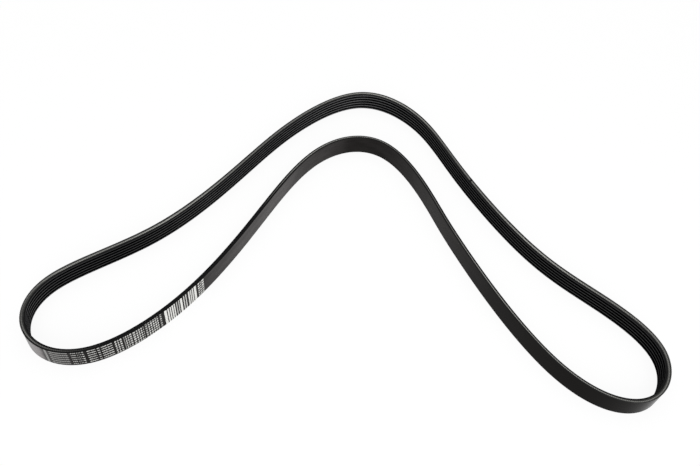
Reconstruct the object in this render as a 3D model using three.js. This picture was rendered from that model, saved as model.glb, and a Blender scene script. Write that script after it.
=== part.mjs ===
import * as THREE from 'three';

// A serpentine belt as it falls open on a bench: one endless band of rubber that
// stands on its cut edge, smooth back outwards and ribs inwards.
// Millimetres, +Z up. The origin lies under the middle of the loop's outer box.

// Across the belt: V-ribs side by side, with half a valley left at each cut edge
const ribCount = 6;
const ribPitch = 3.56; // from one rib's middle to the next
const ribAngle = 40; // between the two flanks of a rib, in degrees
const tipWidth = 1.35; // flat along the top of a rib
const valleyWidth = 0.65; // flat between two ribs
const backThickness = 2.3; // from the smooth back to the valley floors

// Along the belt
const loopLength = 1725; // once round the back

// Points that pull the line of the back into shape, seen from above and anticlockwise
const pullPoints = [
  // left lobe and the near side, up to the crown
  [-277, -173], [-211, -188], [-140, -109], [-98, -4], [-61, 95], [9, 123], [63, 39],
  // down to the right lobe and round it
  [75, 10], [178, -145], [265, -159], [289, -90],
  // far side, over its crown and back to the left lobe
  [220, -41], [162, -9], [82, 94], [50, 157], [-24, 195], [-94, 121], [-128, 56], [-189, -49], [-283, -107],
];

// How finely the bends are cut into flat facets
const facetTurn = 6; // degrees of bend in one facet
const facetLength = 18; // longest facet, where the belt runs nearly straight
const walkSteps = 3000; // small steps of the walk that spaces the facets

// What follows from the sizes above
const beltWidth = ribCount * ribPitch;
const ribBase = ribPitch - valleyWidth;
const flankSlope = Math.tan(THREE.MathUtils.degToRad(ribAngle / 2));
const ribDepth = (ribBase - tipWidth) / 2 / flankSlope;
const beltThickness = backThickness + ribDepth;

// A closed, evenly rounded curve drawn among its points (a uniform cubic B-spline)
class ClosedLine extends THREE.Curve {
  constructor(points) {
    super();
    this.points = points;
    this.arcLengthDivisions = walkSteps;
  }

  // Adds up the four nearest points, each with its own weight
  blend(t, weightsAt, target) {
    const count = this.points.length;
    const place = t * count;
    const first = Math.floor(place);
    const weights = weightsAt(place - first);
    target.set(0, 0, 0);
    weights.forEach((weight, k) => {
      target.addScaledVector(this.points[(first + k - 1 + count) % count], weight);
    });
    return target;
  }

  getPoint(t, target = new THREE.Vector3()) {
    return this.blend(t, (f) => [
      (1 - f) ** 3 / 6,
      (3 * f ** 3 - 6 * f ** 2 + 4) / 6,
      (-3 * f ** 3 + 3 * f ** 2 + 3 * f + 1) / 6,
      f ** 3 / 6,
    ], target);
  }

  getTangent(t, target = new THREE.Vector3()) {
    return this.blend(t, (f) => [
      -((1 - f) ** 2) / 2,
      (3 * f ** 2 - 4 * f) / 2,
      (-3 * f ** 2 + 2 * f + 1) / 2,
      f ** 2 / 2,
    ], target).normalize();
  }
}

// The line of the back, drawn out until it is as long as the belt
function backLine() {
  const points = pullPoints.map(([x, y]) => new THREE.Vector3(x, y, 0));
  const drawn = new ClosedLine(points).getLength();
  points.forEach((point) => point.multiplyScalar(loopLength / drawn));
  return new ClosedLine(points);
}

// Shares of the loop at which a facet ends, closer together where the belt bends hard
function facetEnds(line) {
  const turnLimit = THREE.MathUtils.degToRad(facetTurn);
  const stepShare = loopLength / walkSteps / facetLength;
  const ends = [0];
  let used = 0; // how much of the present facet is used up
  let heading = line.getTangentAt(0);
  for (let step = 1; step < walkSteps; step += 1) {
    const next = line.getTangentAt(step / walkSteps);
    used += Math.max(heading.angleTo(next) / turnLimit, stepShare);
    if (used >= 1) {
      ends.push(step / walkSteps);
      used = 0;
    }
    heading = next;
  }
  return ends;
}

// The belt's cross-section as [depth in from the back, height], once round
function sectionOutline() {
  const outline = [[0, 0], [0, beltWidth], [backThickness, beltWidth]];
  for (let rib = ribCount - 1; rib >= 0; rib -= 1) {
    const middle = (rib + 0.5) * ribPitch;
    outline.push(
      [backThickness, middle + ribBase / 2],
      [beltThickness, middle + tipWidth / 2],
      [beltThickness, middle - tipWidth / 2],
      [backThickness, middle - ribBase / 2],
    );
  }
  outline.push([backThickness, 0]);
  return outline;
}

// The section carried round the line, square to it at each facet's end
function sweptBelt() {
  const line = backLine();
  const ends = facetEnds(line);
  const outline = sectionOutline();
  const positions = [];
  const index = [];
  ends.forEach((share, i) => {
    const point = line.getPointAt(share);
    const heading = line.getTangentAt(share);
    outline.forEach(([depth, height], j) => {
      positions.push(point.x - heading.y * depth, point.y + heading.x * depth, height);
      const row = i * outline.length;
      const nextRow = ((i + 1) % ends.length) * outline.length;
      const nextJ = (j + 1) % outline.length;
      index.push(row + j, nextRow + nextJ, row + nextJ);
      index.push(row + j, nextRow + j, nextRow + nextJ);
    });
  });
  const geometry = new THREE.BufferGeometry();
  geometry.setAttribute('position', new THREE.Float32BufferAttribute(positions, 3));
  geometry.setIndex(index);
  return geometry;
}

// Moves a standing piece so that the origin is under the middle of its box
function centreOnOrigin(geometry) {
  geometry.computeBoundingBox();
  const middle = geometry.boundingBox.getCenter(new THREE.Vector3());
  return geometry.translate(-middle.x, -middle.y, 0);
}

const rubber = new THREE.MeshStandardMaterial({
  color: 0x1c1c1d,
  roughness: 0.55,
  metalness: 0,
  flatShading: true,
});

const belt = new THREE.Mesh(centreOnOrigin(sweptBelt()), rubber);
belt.name = 'belt';

const part = new THREE.Group();
part.add(belt);

export default part;
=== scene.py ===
import math
import random

import bpy
import numpy as np
from mathutils import Matrix, Vector


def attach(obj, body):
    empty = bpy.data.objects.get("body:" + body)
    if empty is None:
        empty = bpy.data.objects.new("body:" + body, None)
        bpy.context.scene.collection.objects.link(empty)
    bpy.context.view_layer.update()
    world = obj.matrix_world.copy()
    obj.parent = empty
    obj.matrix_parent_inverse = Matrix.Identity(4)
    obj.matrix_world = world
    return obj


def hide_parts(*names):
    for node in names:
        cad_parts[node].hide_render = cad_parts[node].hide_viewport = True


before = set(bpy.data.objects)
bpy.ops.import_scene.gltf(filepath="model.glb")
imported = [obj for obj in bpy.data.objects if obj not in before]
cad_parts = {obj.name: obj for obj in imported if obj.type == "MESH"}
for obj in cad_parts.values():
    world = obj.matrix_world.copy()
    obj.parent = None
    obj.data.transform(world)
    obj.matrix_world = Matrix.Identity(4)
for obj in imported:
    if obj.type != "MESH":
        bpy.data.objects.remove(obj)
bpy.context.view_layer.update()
mm = 0.001
print("frame loaded")

# The belt's sizes in metres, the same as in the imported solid
belt = {
    "ribCount": 6,
    "ribPitch": 3.56 * mm,
    "ribAngle": math.radians(40),
    "tipWidth": 1.35 * mm,
    "valleyWidth": 0.65 * mm,
    "backThickness": 2.3 * mm,
    "loopLength": 1.725,
    # in mm, seen from above and anticlockwise: left lobe, near side, right lobe, far side
    "pullPoints": [
        (-277, -173), (-211, -188), (-140, -109), (-98, -4), (-61, 95), (9, 123), (63, 39),
        (75, 10), (178, -145), (265, -159), (289, -90),
        (220, -41), (162, -9), (82, 94), (50, 157), (-24, 195), (-94, 121), (-128, 56),
        (-189, -49), (-283, -107),
    ],
    "skin": 0.05 * mm,  # keeps the smooth curve inside the faceted solid's box
    "stationGap": 2.2 * mm,
    "edgeRadius": 0.14 * mm,  # where the cut edges meet the back and the ribs
    "tipRadius": 0.3 * mm,
    "valleyRadius": 0.2 * mm,
    "roundSteps": 3,
    "roundShare": 0.46,  # most of a side that one rounded corner may take
    "edgeRipple": 0.05 * mm,  # how much the knife wandered
    "rippleReach": 0.4 * mm,  # how far in from a cut edge that shows
    "nickAt": 1.1111,  # distance along the belt
    "nickLength": 1.5 * mm,
    "nickDepth": 0.6 * mm,  # at the root of the ribs, and less towards the back
    "nickAtBack": 0.1,  # share of that depth at the back itself
    "nickSquash": 0.05,  # share that is kept of what stood above the nick's floor
    "nickClean": 0.95,  # share of the cord ends and the dust that it took away
    "nickRings": 9,
    "bakeRows": 5,  # strips that the belt is cut into on the map that keeps its colours
    "bakeRowSpare": 1.03,  # a row's height, with the gap to the next, over the length round the section
    "bakeSideSpare": 1.02,  # the map's side over a row's length
    "bakeMargin": 0.004,
    "seed": 11,
}
# What changes slowly round the loop, as (distance along in metres, share)
beltChanges = {
    # how far the cut laid the cords bare
    "cordShown": [
        (0.0, 0.35), (0.05, 0.08), (0.075, 0.0), (0.27, 0.0), (0.35, 0.75), (0.42, 0.6), (0.46, 0.2),
        (0.55, 0.2), (0.61, 0.5), (0.72, 0.6), (0.8, 0.3), (0.85, 0.3), (0.9, 0.4), (0.95, 0.5),
        (1.0, 0.9), (1.05, 0.7), (1.1, 0.4), (1.12, 0.4), (1.15, 0.25), (1.2, 0.55), (1.25, 0.85),
        (1.3, 0.5), (1.4, 0.3), (1.45, 0.35), (1.5, 0.65), (1.55, 0.8), (1.6, 0.45), (1.65, 0.6),
        (1.7, 0.1), (1.725, 0.3),
    ],
    # how deep in from the back the cords lie, in mm and not a share
    "cordDepth": [
        (0.0, 1.9), (0.3, 2.2), (0.42, 2.0), (0.6, 1.8), (0.65, 1.7), (0.7, 2.1), (0.76, 1.9), (0.8, 1.2),
        (0.85, 2.2), (0.9, 2.1), (0.95, 2.6), (1.0, 2.35), (1.05, 2.5), (1.1, 2.3), (1.15, 1.9), (1.2, 2.3),
        (1.25, 2.4), (1.3, 1.9), (1.4, 2.2), (1.5, 2.4), (1.55, 2.65), (1.6, 2.2), (1.65, 2.5), (1.7, 1.3),
        (1.725, 1.9),
    ],
    # grey dust on the cut edges beside the cords
    "coverDust": [
        (0.0, 0.6), (0.05, 0.1), (0.075, 0.0), (0.3, 0.0), (0.36, 0.5), (0.46, 0.2), (0.75, 0.4),
        (0.86, 1.0), (1.69, 1.0), (1.725, 0.6),
    ],
    # how much of that dust lies out at the back's rim
    "rimDust": [
        (0.0, 0.25), (0.76, 0.25), (0.8, 0.95), (0.85, 0.7), (0.95, 0.25), (1.6, 0.25), (1.65, 0.6),
        (1.7, 0.95), (1.725, 0.6),
    ],
    # painted sheen on the back, partly a dull bloom of the rubber
    "backBloomAndSheen": [
        (0.0, 0.1), (0.007, 0.3), (0.01, 0.7), (0.014, 1.0), (0.0216, 1.0), (0.0226, 0.14), (0.03, 0.14),
        (0.045, 0.08), (0.055, 0.03), (0.13, 0.04), (0.15, 0.08), (0.185, 0.135), (0.22, 0.21),
        (0.26, 0.25), (0.305, 0.31), (0.33, 0.17), (0.38, 0.15), (0.4, 0.06), (0.43, 0.055),
        (0.56, 0.064), (0.64, 0.01), (0.86, 0.0), (0.95, 0.05), (1.1, 0.1), (1.25, 0.07), (1.4, 0.12),
        (1.52, 0.08), (1.66, 0.0), (1.725, 0.06),
    ],
    # painted light on the ribs, which changes round the loop as they turn towards or away from the lamps
    "ribPaintedLight": [
        (0.0, 0.2), (0.85, 0.05), (0.95, 0.1), (1.1, 0.18), (1.2, 0.28), (1.25, 0.42), (1.3, 1.0),
        (1.35, 0.85), (1.4, 0.65), (1.45, 0.62), (1.5, 0.65), (1.55, 0.33), (1.6, 0.1), (1.65, 0.2),
        (1.68, 0.4), (1.7, 0.8), (1.725, 0.8),
    ],
}
belt["width"] = belt["ribCount"] * belt["ribPitch"]
belt["ribBase"] = belt["ribPitch"] - belt["valleyWidth"]
belt["ribDepth"] = (belt["ribBase"] - belt["tipWidth"]) / 2 / math.tan(belt["ribAngle"] / 2)
belt["thickness"] = belt["backThickness"] + belt["ribDepth"]


# Closed, evenly rounded line of the back, scaled to the belt's length and centred
def layRoute(steps=20000):
    control = np.array(belt["pullPoints"]) * mm
    place = np.arange(steps) / steps * len(control)
    first = place.astype(int)
    f = (place - first)[:, None]
    weights = (
        (1 - f) ** 3 / 6,
        (3 * f ** 3 - 6 * f ** 2 + 4) / 6,
        (-3 * f ** 3 + 3 * f ** 2 + 3 * f + 1) / 6,
        f ** 3 / 6,
    )
    line = sum(w * control[(first + k - 1) % len(control)] for k, w in enumerate(weights))
    length = np.linalg.norm(np.roll(line, -1, 0) - line, axis=1).sum()
    line = line * belt["loopLength"] / length
    line = line - (line.min(0) + line.max(0)) / 2
    heading = np.roll(line, -1, 0) - np.roll(line, 1, 0)
    heading /= np.linalg.norm(heading, axis=1)[:, None]
    line, heading = np.vstack([line, line[:1]]), np.vstack([heading, heading[:1]])
    run = np.concatenate([[0], np.cumsum(np.linalg.norm(np.diff(line, axis=0), axis=1))])
    return {"run": run * belt["loopLength"] / run[-1], "line": line, "heading": heading}


route = layRoute()


# Points of the back line and the outward directions there
def onRoute(run):
    at = np.asarray(run) % belt["loopLength"]

    def pick(values):
        return np.stack([np.interp(at, route["run"], values[:, k]) for k in (0, 1)], 1)

    heading = pick(route["heading"])
    heading /= np.linalg.norm(heading, axis=1)[:, None]
    return pick(route["line"]), np.stack([heading[:, 1], -heading[:, 0]], 1)


# Where the mesh has its rings, with extra ones at the nick
def stationRuns():
    count = round(belt["loopLength"] / belt["stationGap"])
    runs = np.arange(count) / count * belt["loopLength"]
    reach = belt["nickLength"]
    runs = runs[abs(runs - belt["nickAt"]) > reach]
    nickRuns = belt["nickAt"] + np.linspace(-reach, reach, belt["nickRings"])
    return np.sort(np.concatenate([runs, nickRuns]))


# Waves that close on themselves round the loop, mostly between -1 and 1
def loopWaves(run, seed, longest=0.06, shortest=0.008, count=14, peak=1.6):
    draw = random.Random(seed)
    total = np.zeros(len(run))
    for _ in range(count):
        turns = round(belt["loopLength"] / draw.uniform(shortest, longest))
        total += np.sin(run / belt["loopLength"] * turns * math.tau + draw.uniform(0, math.tau))
    return total / math.sqrt(count) / peak


# The cross-section's corners as (depth, height, rounding, zone of the side that follows)
def sectionCorners():
    b = belt
    corners = [
        (b["skin"], 0, b["edgeRadius"], "back"),
        (b["skin"], b["width"], b["edgeRadius"], "edge"),
        (b["backThickness"], b["width"], b["edgeRadius"], "edge"),
    ]
    for rib in reversed(range(b["ribCount"])):
        middle = (rib + 0.5) * b["ribPitch"]
        # the outermost flanks caught the dust of the cut
        upper = "edge" if rib == b["ribCount"] - 1 else "ribs"
        lower = "edge" if rib == 0 else "ribs"
        corners += [
            (b["backThickness"], middle + b["ribBase"] / 2, b["valleyRadius"], upper),
            (b["thickness"], middle + b["tipWidth"] / 2, b["tipRadius"], "ribs"),
            (b["thickness"], middle - b["tipWidth"] / 2, b["tipRadius"], lower),
            (b["backThickness"], middle - b["ribBase"] / 2, b["valleyRadius"], lower),
        ]
    corners.append((b["backThickness"], 0, b["edgeRadius"], "edge"))
    return corners


# Each corner becomes a short arc; a point is (depth, height, zone of the next side)
def sectionOutline():
    corners = sectionCorners()
    outline = []
    for k, (depth, height, radius, zone) in enumerate(corners):
        here = np.array([depth, height])
        ways = []
        for other in (corners[k - 1], corners[(k + 1) % len(corners)]):
            way = np.array(other[:2]) - here
            ways.append((way / np.linalg.norm(way), np.linalg.norm(way)))
        (before, beforeLength), (after, afterLength) = ways
        half = math.acos(np.clip(before @ after, -1, 1)) / 2
        cut = min(radius / math.tan(half), min(beforeLength, afterLength) * belt["roundShare"])
        radius = cut * math.tan(half)
        inward = (before + after) / np.linalg.norm(before + after)
        centre = here + inward * radius / math.sin(half)
        start, end = here + before * cut - centre, here + after * cut - centre
        sweep = math.atan2(start[0] * end[1] - start[1] * end[0], start @ end)
        cutCorner = zone == "edge" or corners[k - 1][3] == "edge"
        for step in range(belt["roundSteps"] + 1):
            turn = sweep * step / belt["roundSteps"]
            c, s = math.cos(turn), math.sin(turn)
            point = centre + (c * start[0] - s * start[1], s * start[0] + c * start[1])
            side = "edge" if cutCorner and step < belt["roundSteps"] else zone
            outline.append((point[0], point[1], side))
    return outline


zones = ["back", "edge", "ribs"]


# Heights of the points ring by ring, with the knife's wandering and the nick
def cutHeights(runs, depth, height, nick):
    def nearEdge(inward):
        return np.clip(1 - inward / belt["rippleReach"], 0, 1)[None]

    def ripple(seed):
        wave = (1 + loopWaves(runs, seed)) / 2 * belt["edgeRipple"]
        return np.clip(wave, 0, None)[:, None]

    heights = height[None] - nearEdge(belt["width"] - height) * ripple(belt["seed"])
    heights += nearEdge(height) * ripple(belt["seed"] + 1)
    share = np.clip(depth / belt["backThickness"], belt["nickAtBack"], 1)
    floor = belt["width"] - belt["nickDepth"] * nick[:, None] * share
    return np.where(heights > floor, floor + (heights - floor) * belt["nickSquash"], heights)


# Values at the points that the materials read
def addMarks(mesh, runs, depth, height, nick):
    rings, around = len(runs), len(depth)
    marks = {"depth": np.tile(depth / mm, rings), "height": np.tile(height / mm, rings)}
    for name, changes in beltChanges.items():
        marks[name] = np.repeat(np.interp(runs, *zip(*changes)), around)
    for name in ("cordShown", "coverDust"):
        marks[name] *= np.repeat(1 - belt["nickClean"] * nick, around)
    for name, values in marks.items():
        mark = mesh.attributes.new(name, "FLOAT", "POINT")
        mark.data.foreach_set("value", values.astype(np.float32))


# One map in metres along and round the section, and one with that strip cut into rows in a square
def addMaps(mesh, runs, outline, ring, step):
    sides = np.diff(np.append(outline, outline[:1], axis=0), axis=0)
    across = np.concatenate([[0], np.cumsum(np.hypot(sides[:, 0], sides[:, 1]))])
    along = np.append(runs, belt["loopLength"])
    u0, u1 = along[ring], along[ring + 1]
    v0, v1 = across[step], across[step + 1]
    flat = np.stack([np.stack(pair, -1) for pair in ((u0, v0), (u1, v0), (u1, v1), (u0, v1))], 2)
    rowLength = belt["loopLength"] / belt["bakeRows"]
    rowHeight = across[-1] * belt["bakeRowSpare"]
    row = np.minimum(u0 // rowLength, belt["bakeRows"] - 1)
    shift = np.stack([-row * rowLength, row * rowHeight], -1)[:, :, None]
    side = max(rowLength * belt["bakeSideSpare"], rowHeight * belt["bakeRows"])
    packed = (flat + shift) / side + belt["bakeMargin"]
    for name, values in (("alongAcross", flat), ("OFBake", packed)):
        layer = mesh.uv_layers.new(name=name)
        layer.data.foreach_set("uv", values.reshape(-1).astype(np.float32))


def makeBelt():
    runs = stationRuns()
    points, outward = onRoute(runs)
    outline = sectionOutline()
    depth, height = (np.array([p[k] for p in outline]) for k in (0, 1))
    nick = np.clip(2 - 2 * abs(runs - belt["nickAt"]) / belt["nickLength"], 0, 1)
    rings, around = len(runs), len(outline)
    co = np.empty((rings, around, 3))
    co[..., :2] = points[:, None] - outward[:, None] * depth[None, :, None]
    co[..., 2] = cutHeights(runs, depth, height, nick)

    ring, step = np.meshgrid(np.arange(rings), np.arange(around), indexing="ij")
    nextRing, nextStep = (ring + 1) % rings, (step + 1) % around
    corners = ((ring, step), (nextRing, step), (nextRing, nextStep), (ring, nextStep))
    quads = np.stack([r * around + s for r, s in corners], -1)
    mesh = bpy.data.meshes.new("serpentineBelt")
    mesh.from_pydata(co.reshape(-1, 3).tolist(), [], quads.reshape(-1, 4).tolist())
    mesh.polygons.foreach_set("use_smooth", np.ones(rings * around, bool))
    sides = np.array([zones.index(p[2]) for p in outline], np.int32)
    mesh.polygons.foreach_set("material_index", np.tile(sides, rings))
    addMarks(mesh, runs, depth, height, nick)
    addMaps(mesh, runs, np.stack([depth, height], 1), ring, step)

    piece = bpy.data.objects.new("serpentine_belt", mesh)
    bpy.context.scene.collection.objects.link(piece)
    shading = piece.modifiers.new("flatFacesFirst", "WEIGHTED_NORMAL")
    shading.keep_sharp = True
    return piece


beltPiece = makeBelt()
print("belt built:", len(beltPiece.data.polygons), "faces")

# White ink on the back: rows of plain ticks, and fields of plain stripes. Places are in mm along
inkMarks = {
    "rows": 7,
    "rowPitch": 3.48,
    "film": 0.02,  # how far the ink stands on the rubber
    # start, end and strength of the ink
    "bars": [
        (25.1, 27.3, 0.24), (90.5, 91.2, 0.25), (129.9, 132.4, 1.0), (163.6, 166.1, 1.0),
    ],
    # lengths, gaps and height of the marks, and the shares of the ink that they are drawn from
    "styles": {
        "lines": ((1.6, 2.4, 3.2), (0.25, 0.4), 1.35, (1.0,)),
        "dashes": ((0.8, 1.2, 1.8), (0.3, 0.45), 1.05, (0.8, 1.0)),
        "dots": ((1.1, 1.3, 2.0), (0.8, 1.0), 2.1, (0.7, 0.85, 1.0)),
        "thick": ((1.3, 1.8), (0.8,), 1.9, (0.7, 1.0)),
    },
    # start, end, strength of the ink, style of the marks and middle of the lowest row
    "blocks": [
        (29.4, 44.8, 0.3, "lines", 2.9), (47.2, 51.0, 0.55, "dashes", 2.9),
        (52.0, 52.6, 0.6, "dashes", 2.9), (53.3, 53.9, 0.6, "dashes", 2.9),
        (54.6, 55.2, 0.6, "dashes", 2.9), (55.9, 57.4, 0.8, "dashes", 2.9),
        (60.2, 67.0, 0.8, "dashes", 2.9), (68.3, 70.2, 0.75, "dashes", 2.9),
        (71.6, 80.6, 0.8, "dashes", 2.8), (82.8, 88.8, 0.75, "dots", 2.4),
        (92.0, 97.5, 0.75, "dots", 2.4), (98.8, 108.8, 0.85, "dots", 1.9),
        (110.4, 112.1, 0.6, "dots", 0.6), (113.2, 124.0, 0.95, "dots", 0.5),
        (125.0, 126.6, 0.6, "dots", 0.5), (168.6, 175.8, 1.0, "thick", 2.1),
    ],
    # start and end of each field of stripes, strength of the ink, and the lengths and gaps drawn from
    "stripes": [
        (133.4, 141.4, 0.95, (1.2, 1.5), (0.8, 0.9)), (142.8, 146.4, 0.6, (0.8, 1.0), (1.3,)),
        (147.2, 149.4, 1.0, (2.2,), (0.4,)), (151.0, 155.2, 0.8, (0.8, 1.0), (1.4,)),
        (156.6, 162.6, 0.9, (1.2, 1.6), (0.9, 1.1)),
    ],
    "margin": 0.15,  # bare rubber above and below the ink
    "leastLength": 0.3,  # no mark starts nearer than this to its field's end
    "leastRest": 0.8,  # a mark that would leave less than this of its block runs on to the end
    "leastHeight": 0.2,  # a mark of which the margins leave less than this is left out
    "bakeStart": 20,
    "bakeLength": 160,
    "bakeRows": 3,
    "bakeRowHeight": 22,
    "bakeSideSpare": 1.25,  # the map's side over a row's length
    "bakeMargin": 0.01,
    "seed": 5,
}


# The printed marks on the flat, as (start, end, low, high, strength of the ink)
def inkShapes():
    m = inkMarks
    draw = random.Random(m["seed"])
    low, high = m["margin"], belt["width"] / mm - m["margin"]
    shapes = [(start, end, low, high, ink) for start, end, ink in m["bars"]]
    for start, end, ink, style, lowest in m["blocks"]:
        lengths, gaps, tall, shares = m["styles"][style]
        run = start
        while run < end - m["leastLength"]:
            stop = run + draw.choice(lengths)
            if stop > end - m["leastRest"]:
                stop = end
            for row in range(m["rows"]):
                middle = lowest + row * m["rowPitch"]
                under, over = max(middle - tall / 2, low), min(middle + tall / 2, high)
                if over - under > m["leastHeight"]:
                    shapes.append((run, stop, under, over, ink * draw.choice(shares)))
            run = stop + draw.choice(gaps)
    for start, end, ink, lengths, gaps in m["stripes"]:
        run = start
        while run < end - m["leastLength"]:
            stop = min(run + draw.choice(lengths), end)
            shapes.append((run, stop, low, high, ink))
            run = stop + draw.choice(gaps)
    return shapes


# Lays the flat marks on the belt's own facets as thin closed films
def makeInk():
    m = inkMarks
    runs = np.append(stationRuns(), belt["loopLength"])
    points, outward = onRoute(runs)

    def onBack(run, height, lift):
        at = run * mm
        k = int(np.searchsorted(runs, at, side="right")) - 1
        share = (at - runs[k]) / (runs[k + 1] - runs[k])
        reach = lift * mm - belt["skin"]
        ends = [points[j] + outward[j] * reach for j in (k, k + 1)]
        x, y = ends[0] * (1 - share) + ends[1] * share
        return (x, y, height * mm)

    vertices, faces, maps, strengths = [], [], [], []
    for start, end, low, high, ink in inkShapes():
        places = [start, *(r / mm for r in runs if start < r / mm < end), end]
        base = len(vertices)
        for run in places:
            for height, lift in ((low, -1), (high, -1), (high, 1), (low, 1)):
                vertices.append(onBack(run, height, lift * m["film"]))
                maps.append((run, height))
                strengths.append(ink)
        last = base + 4 * (len(places) - 1)
        for at in range(base, last, 4):
            for j in range(4):
                faces.append((at + j, at + 4 + j, at + 4 + (j + 1) % 4, at + (j + 1) % 4))
        faces.append((base, base + 1, base + 2, base + 3))
        faces.append((last + 3, last + 2, last + 1, last))
    mesh = bpy.data.meshes.new("inkFilm")
    mesh.from_pydata(vertices, [], faces)
    mesh.attributes.new("inkStrength", "FLOAT", "POINT").data.foreach_set("value", strengths)
    rowLength = m["bakeLength"] / m["bakeRows"]
    side = rowLength * m["bakeSideSpare"]
    layers = [mesh.uv_layers.new(name=name) for name in ("alongAcross", "OFBake")]
    for polygon in mesh.polygons:
        row = int((min(maps[v][0] for v in polygon.vertices) - m["bakeStart"]) // rowLength)
        for loop in polygon.loop_indices:
            run, height = maps[mesh.loops[loop].vertex_index]
            inRow = run - m["bakeStart"] - row * rowLength, height + row * m["bakeRowHeight"]
            layers[0].data[loop].uv = (run * mm, height * mm)
            layers[1].data[loop].uv = [value / side + m["bakeMargin"] for value in inRow]
    piece = bpy.data.objects.new("printed_marks", mesh)
    bpy.context.scene.collection.objects.link(piece)
    return piece


inkPiece = makeInk()
print("ink built:", len(inkPiece.data.polygons), "faces")


# Shader helpers
def startMaterial(name):
    material = bpy.data.materials.new(name)
    material.use_nodes = True
    nodes = material.node_tree.nodes
    nodes.clear()
    shader = nodes.new("ShaderNodeBsdfPrincipled")
    output = nodes.new("ShaderNodeOutputMaterial")
    material.node_tree.links.new(shader.outputs["BSDF"], output.inputs["Surface"])
    return material, nodes, material.node_tree.links, shader


def startGroup(name, inputs, outputs):
    group = bpy.data.node_groups.new(name, "ShaderNodeTree")
    for label, kind, value in inputs:
        socket = group.interface.new_socket(name=label, in_out="INPUT", socket_type=kind)
        if value is not None:
            socket.default_value = value
    for label, kind in outputs:
        group.interface.new_socket(name=label, in_out="OUTPUT", socket_type=kind)
    nodes = group.nodes
    return group, nodes, group.links, nodes.new("NodeGroupInput"), nodes.new("NodeGroupOutput")


# A plain value is set on the socket itself, and anything else is linked to it
def feed(links, socket, value):
    if isinstance(value, (int, float, tuple)):
        socket.default_value = value
    else:
        links.new(value, socket)


def addMath(nodes, links, operation, a, b=0.0, clamp=False):
    node = nodes.new("ShaderNodeMath")
    node.operation = operation
    node.use_clamp = clamp
    feed(links, node.inputs[0], a)
    feed(links, node.inputs[1], b)
    return node.outputs[0]


# Sockets 6, 7 and 2 of a Mix node are the ones for colours
def addMix(nodes, links, factor, a, b):
    node = nodes.new("ShaderNodeMix")
    node.data_type = "RGBA"
    links.new(factor, node.inputs[0])
    feed(links, node.inputs[6], a)
    feed(links, node.inputs[7], b)
    return node.outputs[2]


def addRamp(nodes, links, value, low, high, outLow=0.0, outHigh=1.0):
    node = nodes.new("ShaderNodeMapRange")
    node.interpolation_type = "SMOOTHSTEP"
    links.new(value, node.inputs["Value"])
    for label, number in (("From Min", low), ("From Max", high), ("To Min", outLow), ("To Max", outHigh)):
        feed(links, node.inputs[label], number)
    return node.outputs["Result"]


def addNoise(nodes, links, vector, scale, detail=2.0, rough=0.55):
    node = nodes.new("ShaderNodeTexNoise")
    node.inputs["Detail"].default_value = detail
    node.inputs["Roughness"].default_value = rough
    links.new(vector, node.inputs["Vector"])
    feed(links, node.inputs["Scale"], scale)
    return node.outputs["Fac"]


def stretchVector(nodes, links, vector, scale):
    node = nodes.new("ShaderNodeVectorMath")
    node.operation = "MULTIPLY"
    links.new(vector, node.inputs[0])
    feed(links, node.inputs[1], scale)
    return node.outputs[0]


# What the shared effects have in common wherever they are placed; scales count per metre
effects = {
    "streakScale": (60, 2600, 1),
    "mottleScale": (45, 160, 1),
    "mottleSpan": (0.3, 0.7),  # the mottle's low and high side, for the looks that follow it
    "fibreEdge": (0.18, 0.48),  # between these shares of its cell a fibre fades
    "fibreBlend": 0.15,
    "wearStart": 0.72,
    "wearReach": 0.5,
    "wearBlend": 0.16,
    "twistSlant": 0.8,
    "twistNoise": 260.0,
    "twistUneven": 6.0,
    "twistEdge": (-0.7, 0.6),
}


# Rubber's fine grain with long streaks from grinding
def makeGrainGroup():
    inputs = [
        ("Run", "NodeSocketVector", None),
        ("Grain", "NodeSocketFloat", 2200.0),
        ("Streak", "NodeSocketFloat", 0.5),
    ]
    outputs = [("Height", "NodeSocketFloat"), ("Mottle", "NodeSocketFloat")]
    group, nodes, links, given, out = startGroup("rubberGrain", inputs, outputs)
    run = given.outputs["Run"]
    grain = addNoise(nodes, links, run, given.outputs["Grain"])
    streaks = addNoise(nodes, links, stretchVector(nodes, links, run, effects["streakScale"]), 1.0)
    streaks = addMath(nodes, links, "MULTIPLY", streaks, given.outputs["Streak"])
    links.new(addMath(nodes, links, "ADD", grain, streaks), out.inputs["Height"])
    stretched = stretchVector(nodes, links, run, effects["mottleScale"])
    links.new(addNoise(nodes, links, stretched, 1.0, detail=4.0), out.inputs["Mottle"])
    return group


# Short pale fibres, strung along the belt like cut cord ends
def makeFibreGroup():
    inputs = [
        ("Run", "NodeSocketVector", None),
        ("Along", "NodeSocketFloat", 620.0),
        ("Across", "NodeSocketFloat", 900.0),
        ("Amount", "NodeSocketFloat", 0.5),
    ]
    group, nodes, links, given, out = startGroup("cutFibres", inputs, [("Mask", "NodeSocketFloat")])
    spread = nodes.new("ShaderNodeCombineXYZ")
    links.new(given.outputs["Along"], spread.inputs[0])
    links.new(given.outputs["Across"], spread.inputs[1])
    scaled = stretchVector(nodes, links, given.outputs["Run"], spread.outputs[0])
    cells = nodes.new("ShaderNodeTexVoronoi")
    cells.inputs["Scale"].default_value = 1.0
    links.new(scaled, cells.inputs["Vector"])
    near = addRamp(nodes, links, cells.outputs["Distance"], *effects["fibreEdge"], 1.0, 0.0)
    tone = nodes.new("ShaderNodeSeparateColor")
    links.new(cells.outputs["Color"], tone.inputs[0])
    threshold = addMath(nodes, links, "SUBTRACT", 1.0, given.outputs["Amount"])
    certain = addMath(nodes, links, "ADD", threshold, effects["fibreBlend"])
    chosen = addRamp(nodes, links, tone.outputs[0], threshold, certain)
    links.new(addMath(nodes, links, "MULTIPLY", near, chosen), out.inputs["Mask"])
    return group


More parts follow.
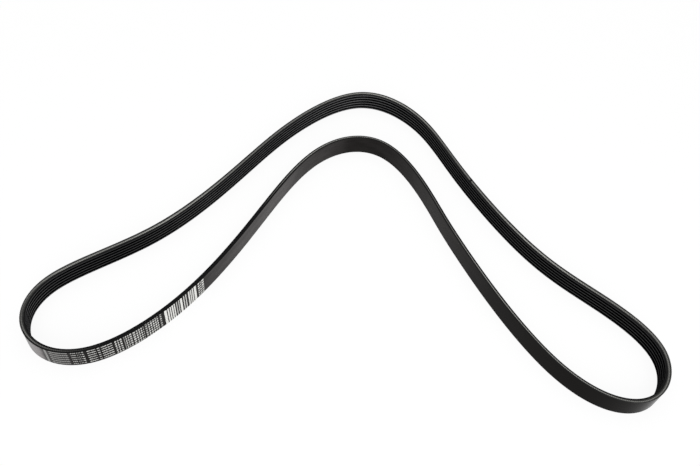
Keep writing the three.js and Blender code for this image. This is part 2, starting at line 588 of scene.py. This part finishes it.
# Paler rubbed spots, in patches
def makeWearGroup():
    inputs = [
        ("Run", "NodeSocketVector", None),
        ("Edge", "NodeSocketFloat", 1.0),
        ("Scale", "NodeSocketFloat", 300.0),
        ("Amount", "NodeSocketFloat", 0.5),
    ]
    group, nodes, links, given, out = startGroup("rubbedSpots", inputs, [("Mask", "NodeSocketFloat")])
    patches = addNoise(nodes, links, given.outputs["Run"], given.outputs["Scale"], detail=4.0, rough=0.65)
    reach = addMath(nodes, links, "MULTIPLY", given.outputs["Amount"], effects["wearReach"])
    low = addMath(nodes, links, "SUBTRACT", effects["wearStart"], reach)
    worn = addRamp(nodes, links, patches, low, addMath(nodes, links, "ADD", low, effects["wearBlend"]))
    links.new(addMath(nodes, links, "MULTIPLY", worn, given.outputs["Edge"]), out.inputs["Mask"])
    return group


# The slanting strands of a twisted cord; the period is in millimetres
def makeTwistGroup():
    inputs = [("Run", "NodeSocketVector", None), ("Period", "NodeSocketFloat", 1.7)]
    group, nodes, links, given, out = startGroup("cordTwist", inputs, [("Mask", "NodeSocketFloat")])
    parts = nodes.new("ShaderNodeSeparateXYZ")
    links.new(given.outputs["Run"], parts.inputs[0])
    slant = addMath(nodes, links, "MULTIPLY", parts.outputs[1], effects["twistSlant"])
    slanted = addMath(nodes, links, "ADD", parts.outputs[0], slant)
    turns = addMath(nodes, links, "MULTIPLY", slanted, math.tau / mm)
    turns = addMath(nodes, links, "DIVIDE", turns, given.outputs["Period"])
    uneven = addNoise(nodes, links, given.outputs["Run"], effects["twistNoise"])
    uneven = addMath(nodes, links, "MULTIPLY", uneven, effects["twistUneven"])
    wave = addMath(nodes, links, "SINE", addMath(nodes, links, "ADD", turns, uneven))
    links.new(addRamp(nodes, links, wave, *effects["twistEdge"]), out.inputs["Mask"])
    return group


groups = {
    "grain": makeGrainGroup(),
    "fibre": makeFibreGroup(),
    "wear": makeWearGroup(),
    "twist": makeTwistGroup(),
}
print("node groups built")


def placeGroup(nodes, links, group, run, **values):
    node = nodes.new("ShaderNodeGroup")
    node.node_tree = group
    links.new(run, node.inputs["Run"])
    for label, value in values.items():
        feed(links, node.inputs[label], value)
    return node


def runVector(nodes):
    node = nodes.new("ShaderNodeUVMap")
    node.uv_map = "alongAcross"
    return node.outputs[0]


def readMark(nodes, name):
    node = nodes.new("ShaderNodeAttribute")
    node.attribute_name = name
    return node.outputs["Fac"]


def addBump(nodes, links, shader, height, distance, strength=0.6):
    node = nodes.new("ShaderNodeBump")
    node.inputs["Strength"].default_value = strength
    node.inputs["Distance"].default_value = distance
    links.new(height, node.inputs["Height"])
    links.new(node.outputs["Normal"], shader.inputs["Normal"])


backRubber = {
    "dark": (0.0018, 0.0012, 0.0007, 1),
    # the lighter colour of the painted sheen and the dull bloom
    "bloomAndSheen": (0.204, 0.19, 0.189, 1),
    "bloomAndSheenPatches": (0.75, 1.25),
    "rough": (0.17, 0.25),
    "ior": 1.11,
    "grain": {"Grain": 2200.0, "Streak": 0.6},
    "bump": 0.012 * mm,
}


def makeBackRubber():
    look = backRubber
    material, nodes, links, shader = startMaterial("backRubber")
    run = runVector(nodes)
    grain = placeGroup(nodes, links, groups["grain"], run, **look["grain"])
    mottle = addRamp(nodes, links, grain.outputs["Mottle"], *effects["mottleSpan"], *look["bloomAndSheenPatches"])
    # painted sheen in patches, partly a dull bloom of the rubber
    bloomAndSheen = addMath(nodes, links, "MULTIPLY", mottle, readMark(nodes, "backBloomAndSheen"), True)
    links.new(addMix(nodes, links, bloomAndSheen, look["dark"], look["bloomAndSheen"]), shader.inputs["Base Color"])
    rough = addRamp(nodes, links, grain.outputs["Mottle"], *effects["mottleSpan"], *look["rough"])
    links.new(rough, shader.inputs["Roughness"])
    shader.inputs["IOR"].default_value = look["ior"]
    addBump(nodes, links, shader, grain.outputs["Height"], look["bump"])
    return material


cutRubber = {
    "base": (0.0035, 0.0035, 0.0037, 1),
    # the grey dust of the cut on this edge
    "dustAndPaintedLight": (0.082, 0.082, 0.078, 1),
    "cordDark": (0.18, 0.18, 0.168, 1),
    "cordLight": (0.48, 0.48, 0.45, 1),
    "roughness": 0.6,
    "ior": 1.12,
    "cordHalf": 0.6,  # half the width of the line of cords, in mm
    "cordCore": 0.3,  # how far out from its middle it shows in full
    "cordWander": 0.15,  # how far it strays
    "wanderScale": (22, 0, 1),
    "rim": (0.6, 1.8),  # between these depths in mm the dark rim along the back fades
    "flank": (2.6, 3.4),  # and the dust on the outermost flanks does
    "flankDust": 0.05,  # down to this share
    "bareDust": 0.45,  # share of the dust where no fibre is
    "grain": {"Grain": 3200.0, "Streak": 0.2},
    "fibre": {"Along": 700.0, "Across": 1500.0, "Amount": 0.75},
    "twist": {"Period": 1.7},
    "bump": 0.06 * mm,
}


def makeCutRubber():
    look = cutRubber
    material, nodes, links, shader = startMaterial("cutEdgeRubber")
    run = runVector(nodes)
    depth = readMark(nodes, "depth")
    grain = placeGroup(nodes, links, groups["grain"], run, **look["grain"])
    fibres = placeGroup(nodes, links, groups["fibre"], run, **look["fibre"])
    twist = placeGroup(nodes, links, groups["twist"], run, **look["twist"])

    # the line of cord ends
    wander = addNoise(nodes, links, stretchVector(nodes, links, run, look["wanderScale"]), 1.0)
    wander = addMath(nodes, links, "SUBTRACT", wander, 0.5)
    wander = addMath(nodes, links, "MULTIPLY", wander, look["cordWander"] * 2)
    offset = addMath(nodes, links, "SUBTRACT", depth, readMark(nodes, "cordDepth"))
    offset = addMath(nodes, links, "ABSOLUTE", addMath(nodes, links, "SUBTRACT", offset, wander))
    band = addRamp(nodes, links, offset, look["cordCore"], look["cordHalf"], 1.0, 0.0)
    band = addMath(nodes, links, "MULTIPLY", band, readMark(nodes, "cordShown"))
    cord = addMix(nodes, links, twist.outputs["Mask"], look["cordDark"], look["cordLight"])

    # dust beside it
    speckle = addRamp(nodes, links, fibres.outputs["Mask"], 0.0, 1.0, look["bareDust"], 1.0)
    rim = addRamp(nodes, links, depth, *look["rim"], readMark(nodes, "rimDust"), 1.0)
    flank = addRamp(nodes, links, depth, *look["flank"], 1.0, look["flankDust"])
    dusty = addMath(nodes, links, "MULTIPLY", speckle, readMark(nodes, "coverDust"))
    for share in (rim, flank):
        dusty = addMath(nodes, links, "MULTIPLY", dusty, share)
    cover = addMix(nodes, links, dusty, look["base"], look["dustAndPaintedLight"])

    links.new(addMix(nodes, links, band, cover, cord), shader.inputs["Base Color"])
    shader.inputs["Roughness"].default_value = look["roughness"]
    shader.inputs["IOR"].default_value = look["ior"]
    relief = addMath(nodes, links, "ADD", grain.outputs["Height"], twist.outputs["Mask"])
    addBump(nodes, links, shader, relief, look["bump"])
    return material


ribRubber = {
    # flanks and grooves near black: painted shade in the grooves on top of the dark rubber
    "shadedGroove": (0.0002, 0.0002, 0.0003, 1),
    # painted light on the grooves
    "litGroove": (0.0065, 0.0065, 0.0067, 1),
    "tip": (0.031, 0.031, 0.0318, 1),
    # painted light on the tips
    "litTip": (0.138, 0.138, 0.141, 1),
    "fleck": (0.12, 0.12, 0.118, 1),
    "ground": (0.3, 0.62),  # between these distances in mm from a tip's middle the ground rubber fades
    "groundDepth": (0.25, 0.05),  # and between these depths in mm below the tips
    # the two below set the patches of painted light on the ribs
    "paintedLightSpan": (0.2, 0.8),
    "paintedLightPatches": (0.6, 1.2),
    "rough": (0.6, 0.75),
    "ior": 1.03,
    "specular": 0.25,
    "grain": {"Grain": 2600.0, "Streak": 1.0},
    "fibre": {"Along": 500.0, "Across": 2200.0, "Amount": 0.12},
    "bump": 0.03 * mm,
}


def makeRibRubber():
    look = ribRubber
    material, nodes, links, shader = startMaterial("ribRubber")
    run = runVector(nodes)
    grain = placeGroup(nodes, links, groups["grain"], run, **look["grain"])
    fibres = placeGroup(nodes, links, groups["fibre"], run, **look["fibre"])

    # one on the ground tips of the ribs, and none in the grooves
    pitch = belt["ribPitch"] / mm
    share = addMath(nodes, links, "DIVIDE", readMark(nodes, "height"), pitch)
    share = addMath(nodes, links, "SUBTRACT", addMath(nodes, links, "FRACT", share), 0.5)
    aside = addMath(nodes, links, "MULTIPLY", addMath(nodes, links, "ABSOLUTE", share), pitch)
    full = belt["thickness"] / mm
    reach = [full - below for below in look["groundDepth"]]
    ground = addMath(nodes, links, "MULTIPLY", addRamp(nodes, links, aside, *look["ground"], 1.0, 0.0),
                     addRamp(nodes, links, readMark(nodes, "depth"), *reach))

    # painted light on the ribs, in patches, lifting both the grooves and the tips
    patches = addRamp(nodes, links, grain.outputs["Mottle"], *look["paintedLightSpan"], *look["paintedLightPatches"])
    dustAndPaintedLight = addMath(nodes, links, "MULTIPLY", readMark(nodes, "ribPaintedLight"), patches, True)
    # painted shade on the flanks and in the grooves
    shadedGroove = addMix(nodes, links, dustAndPaintedLight, look["shadedGroove"], look["litGroove"])
    tip = addMix(nodes, links, dustAndPaintedLight, look["tip"], look["litTip"])
    rubber = addMix(nodes, links, ground, shadedGroove, tip)
    flecks = addMath(nodes, links, "MULTIPLY", fibres.outputs["Mask"], ground)
    links.new(addMix(nodes, links, flecks, rubber, look["fleck"]), shader.inputs["Base Color"])
    rough = addRamp(nodes, links, grain.outputs["Mottle"], *effects["mottleSpan"], *look["rough"])
    links.new(rough, shader.inputs["Roughness"])
    shader.inputs["IOR"].default_value = look["ior"]
    shader.inputs["Specular IOR Level"].default_value = look["specular"]
    addBump(nodes, links, shader, grain.outputs["Height"], look["bump"])
    return material


whiteInk = {
    "fresh": (0.74, 0.74, 0.71, 1),
    "faint": (0.02, 0.02, 0.019, 1),
    "roughness": 0.5,
    "wear": {"Edge": 0.35, "Scale": 900.0, "Amount": 0.35},
}


def makeWhiteInk():
    material, nodes, links, shader = startMaterial("whiteInk")
    run = runVector(nodes)
    wear = placeGroup(nodes, links, groups["wear"], run, **whiteInk["wear"])
    held = addMath(nodes, links, "SUBTRACT", 1.0, wear.outputs["Mask"])
    held = addMath(nodes, links, "MULTIPLY", held, readMark(nodes, "inkStrength"))
    links.new(addMix(nodes, links, held, whiteInk["faint"], whiteInk["fresh"]), shader.inputs["Base Color"])
    shader.inputs["Roughness"].default_value = whiteInk["roughness"]
    return material


for material in (makeBackRubber(), makeCutRubber(), makeRibRubber()):
    beltPiece.data.materials.append(material)
inkPiece.data.materials.append(makeWhiteInk())
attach(beltPiece, "root")
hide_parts("belt")
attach(inkPiece, "root")
print("materials set")

studio = {
    "floorSize": 12.0,
    "floorDrop": 0.05 * mm,  # keeps it clear of the lower cut edge
    "floorColour": (0.9, 0.9, 0.9, 1),
    "floorGlow": 0.9,  # share of the floor's own white where the camera or a gloss sees it
    "worldLevel": 0.5,  # how strongly the world lights the belt; the camera and a gloss see it white
    "softboxes": [  # place, size and power
        ((0.0, 0.2, 1.7), 2.4, 20.0),
        ((0.2, -1.6, 1.15), 1.0, 19.0),
    ],
}


# One if the ray comes from the camera, a gloss or glass
def addSeenRay(nodes, links):
    path = nodes.new("ShaderNodeLightPath")
    seen = addMath(nodes, links, "MAXIMUM", path.outputs["Is Camera Ray"], path.outputs["Is Glossy Ray"])
    return addMath(nodes, links, "MAXIMUM", seen, path.outputs["Is Transmission Ray"])


def makeFloor():
    mesh = bpy.data.meshes.new("studioFloor")
    h = studio["floorSize"] / 2
    mesh.from_pydata([(-h, -h, 0), (h, -h, 0), (h, h, 0), (-h, h, 0)], [], [(0, 1, 2, 3)])
    floor = bpy.data.objects.new("studio_floor", mesh)
    floor.location.z = -studio["floorDrop"]
    bpy.context.scene.collection.objects.link(floor)
    material = bpy.data.materials.new("paleFloor")
    material.use_nodes = True
    nodes, links = material.node_tree.nodes, material.node_tree.links
    nodes.clear()
    lit = nodes.new("ShaderNodeBsdfDiffuse")
    lit.inputs["Color"].default_value = studio["floorColour"]
    glow = nodes.new("ShaderNodeEmission")
    glow.inputs["Strength"].default_value = 1.0
    mixed = nodes.new("ShaderNodeMixShader")
    share = addMath(nodes, links, "MULTIPLY", addSeenRay(nodes, links), studio["floorGlow"])
    links.new(share, mixed.inputs[0])
    links.new(lit.outputs[0], mixed.inputs[1])
    links.new(glow.outputs[0], mixed.inputs[2])
    output = nodes.new("ShaderNodeOutputMaterial")
    links.new(mixed.outputs[0], output.inputs["Surface"])
    mesh.materials.append(material)


def makeWorld():
    world = bpy.data.worlds.new("paleStudio")
    bpy.context.scene.world = world
    world.use_nodes = True
    nodes, links = world.node_tree.nodes, world.node_tree.links
    background = nodes["Background"]
    background.inputs["Color"].default_value = (1, 1, 1, 1)
    strength = addMath(nodes, links, "MULTIPLY", addSeenRay(nodes, links), 1 - studio["worldLevel"])
    links.new(addMath(nodes, links, "ADD", strength, studio["worldLevel"]), background.inputs["Strength"])


# Square lamps that look at the middle of the belt
def makeLights():
    for number, (place, size, power) in enumerate(studio["softboxes"]):
        data = bpy.data.lights.new(f"softbox{number}", "AREA")
        data.shape = "SQUARE"
        data.size = size
        data.energy = power
        lamp = bpy.data.objects.new(f"softbox{number}", data)
        turn = Vector(place).to_track_quat("Z", "Y").to_matrix().to_4x4()
        lamp.matrix_world = Matrix.Translation(place) @ turn
        bpy.context.scene.collection.objects.link(lamp)


cameraView = {
    "aim": (-13.5 * mm, 0.0, 0.0),
    "elevation": math.radians(52.84),
    "roll": math.radians(8.17),
    "distance": 0.7389,
    "lens": 39.18,
    "sensor": 36,
    "clip": (0.01, 50),
}


def makeCamera():
    data = bpy.data.cameras.new("photoCamera")
    data.sensor_width = cameraView["sensor"]
    data.lens = cameraView["lens"]
    data.clip_start, data.clip_end = cameraView["clip"]
    viewer = bpy.data.objects.new("photoCamera", data)
    turn = Matrix.Rotation(math.pi / 2 - cameraView["elevation"], 4, "X")
    turn = turn @ Matrix.Rotation(cameraView["roll"], 4, "Z")
    back = Matrix.Translation((0, 0, cameraView["distance"]))
    viewer.matrix_world = Matrix.Translation(cameraView["aim"]) @ turn @ back
    bpy.context.scene.collection.objects.link(viewer)
    bpy.context.scene.camera = viewer


makeFloor()
makeWorld()
makeLights()
makeCamera()
bpy.context.scene.view_settings.view_transform = "Standard"
print("studio set")
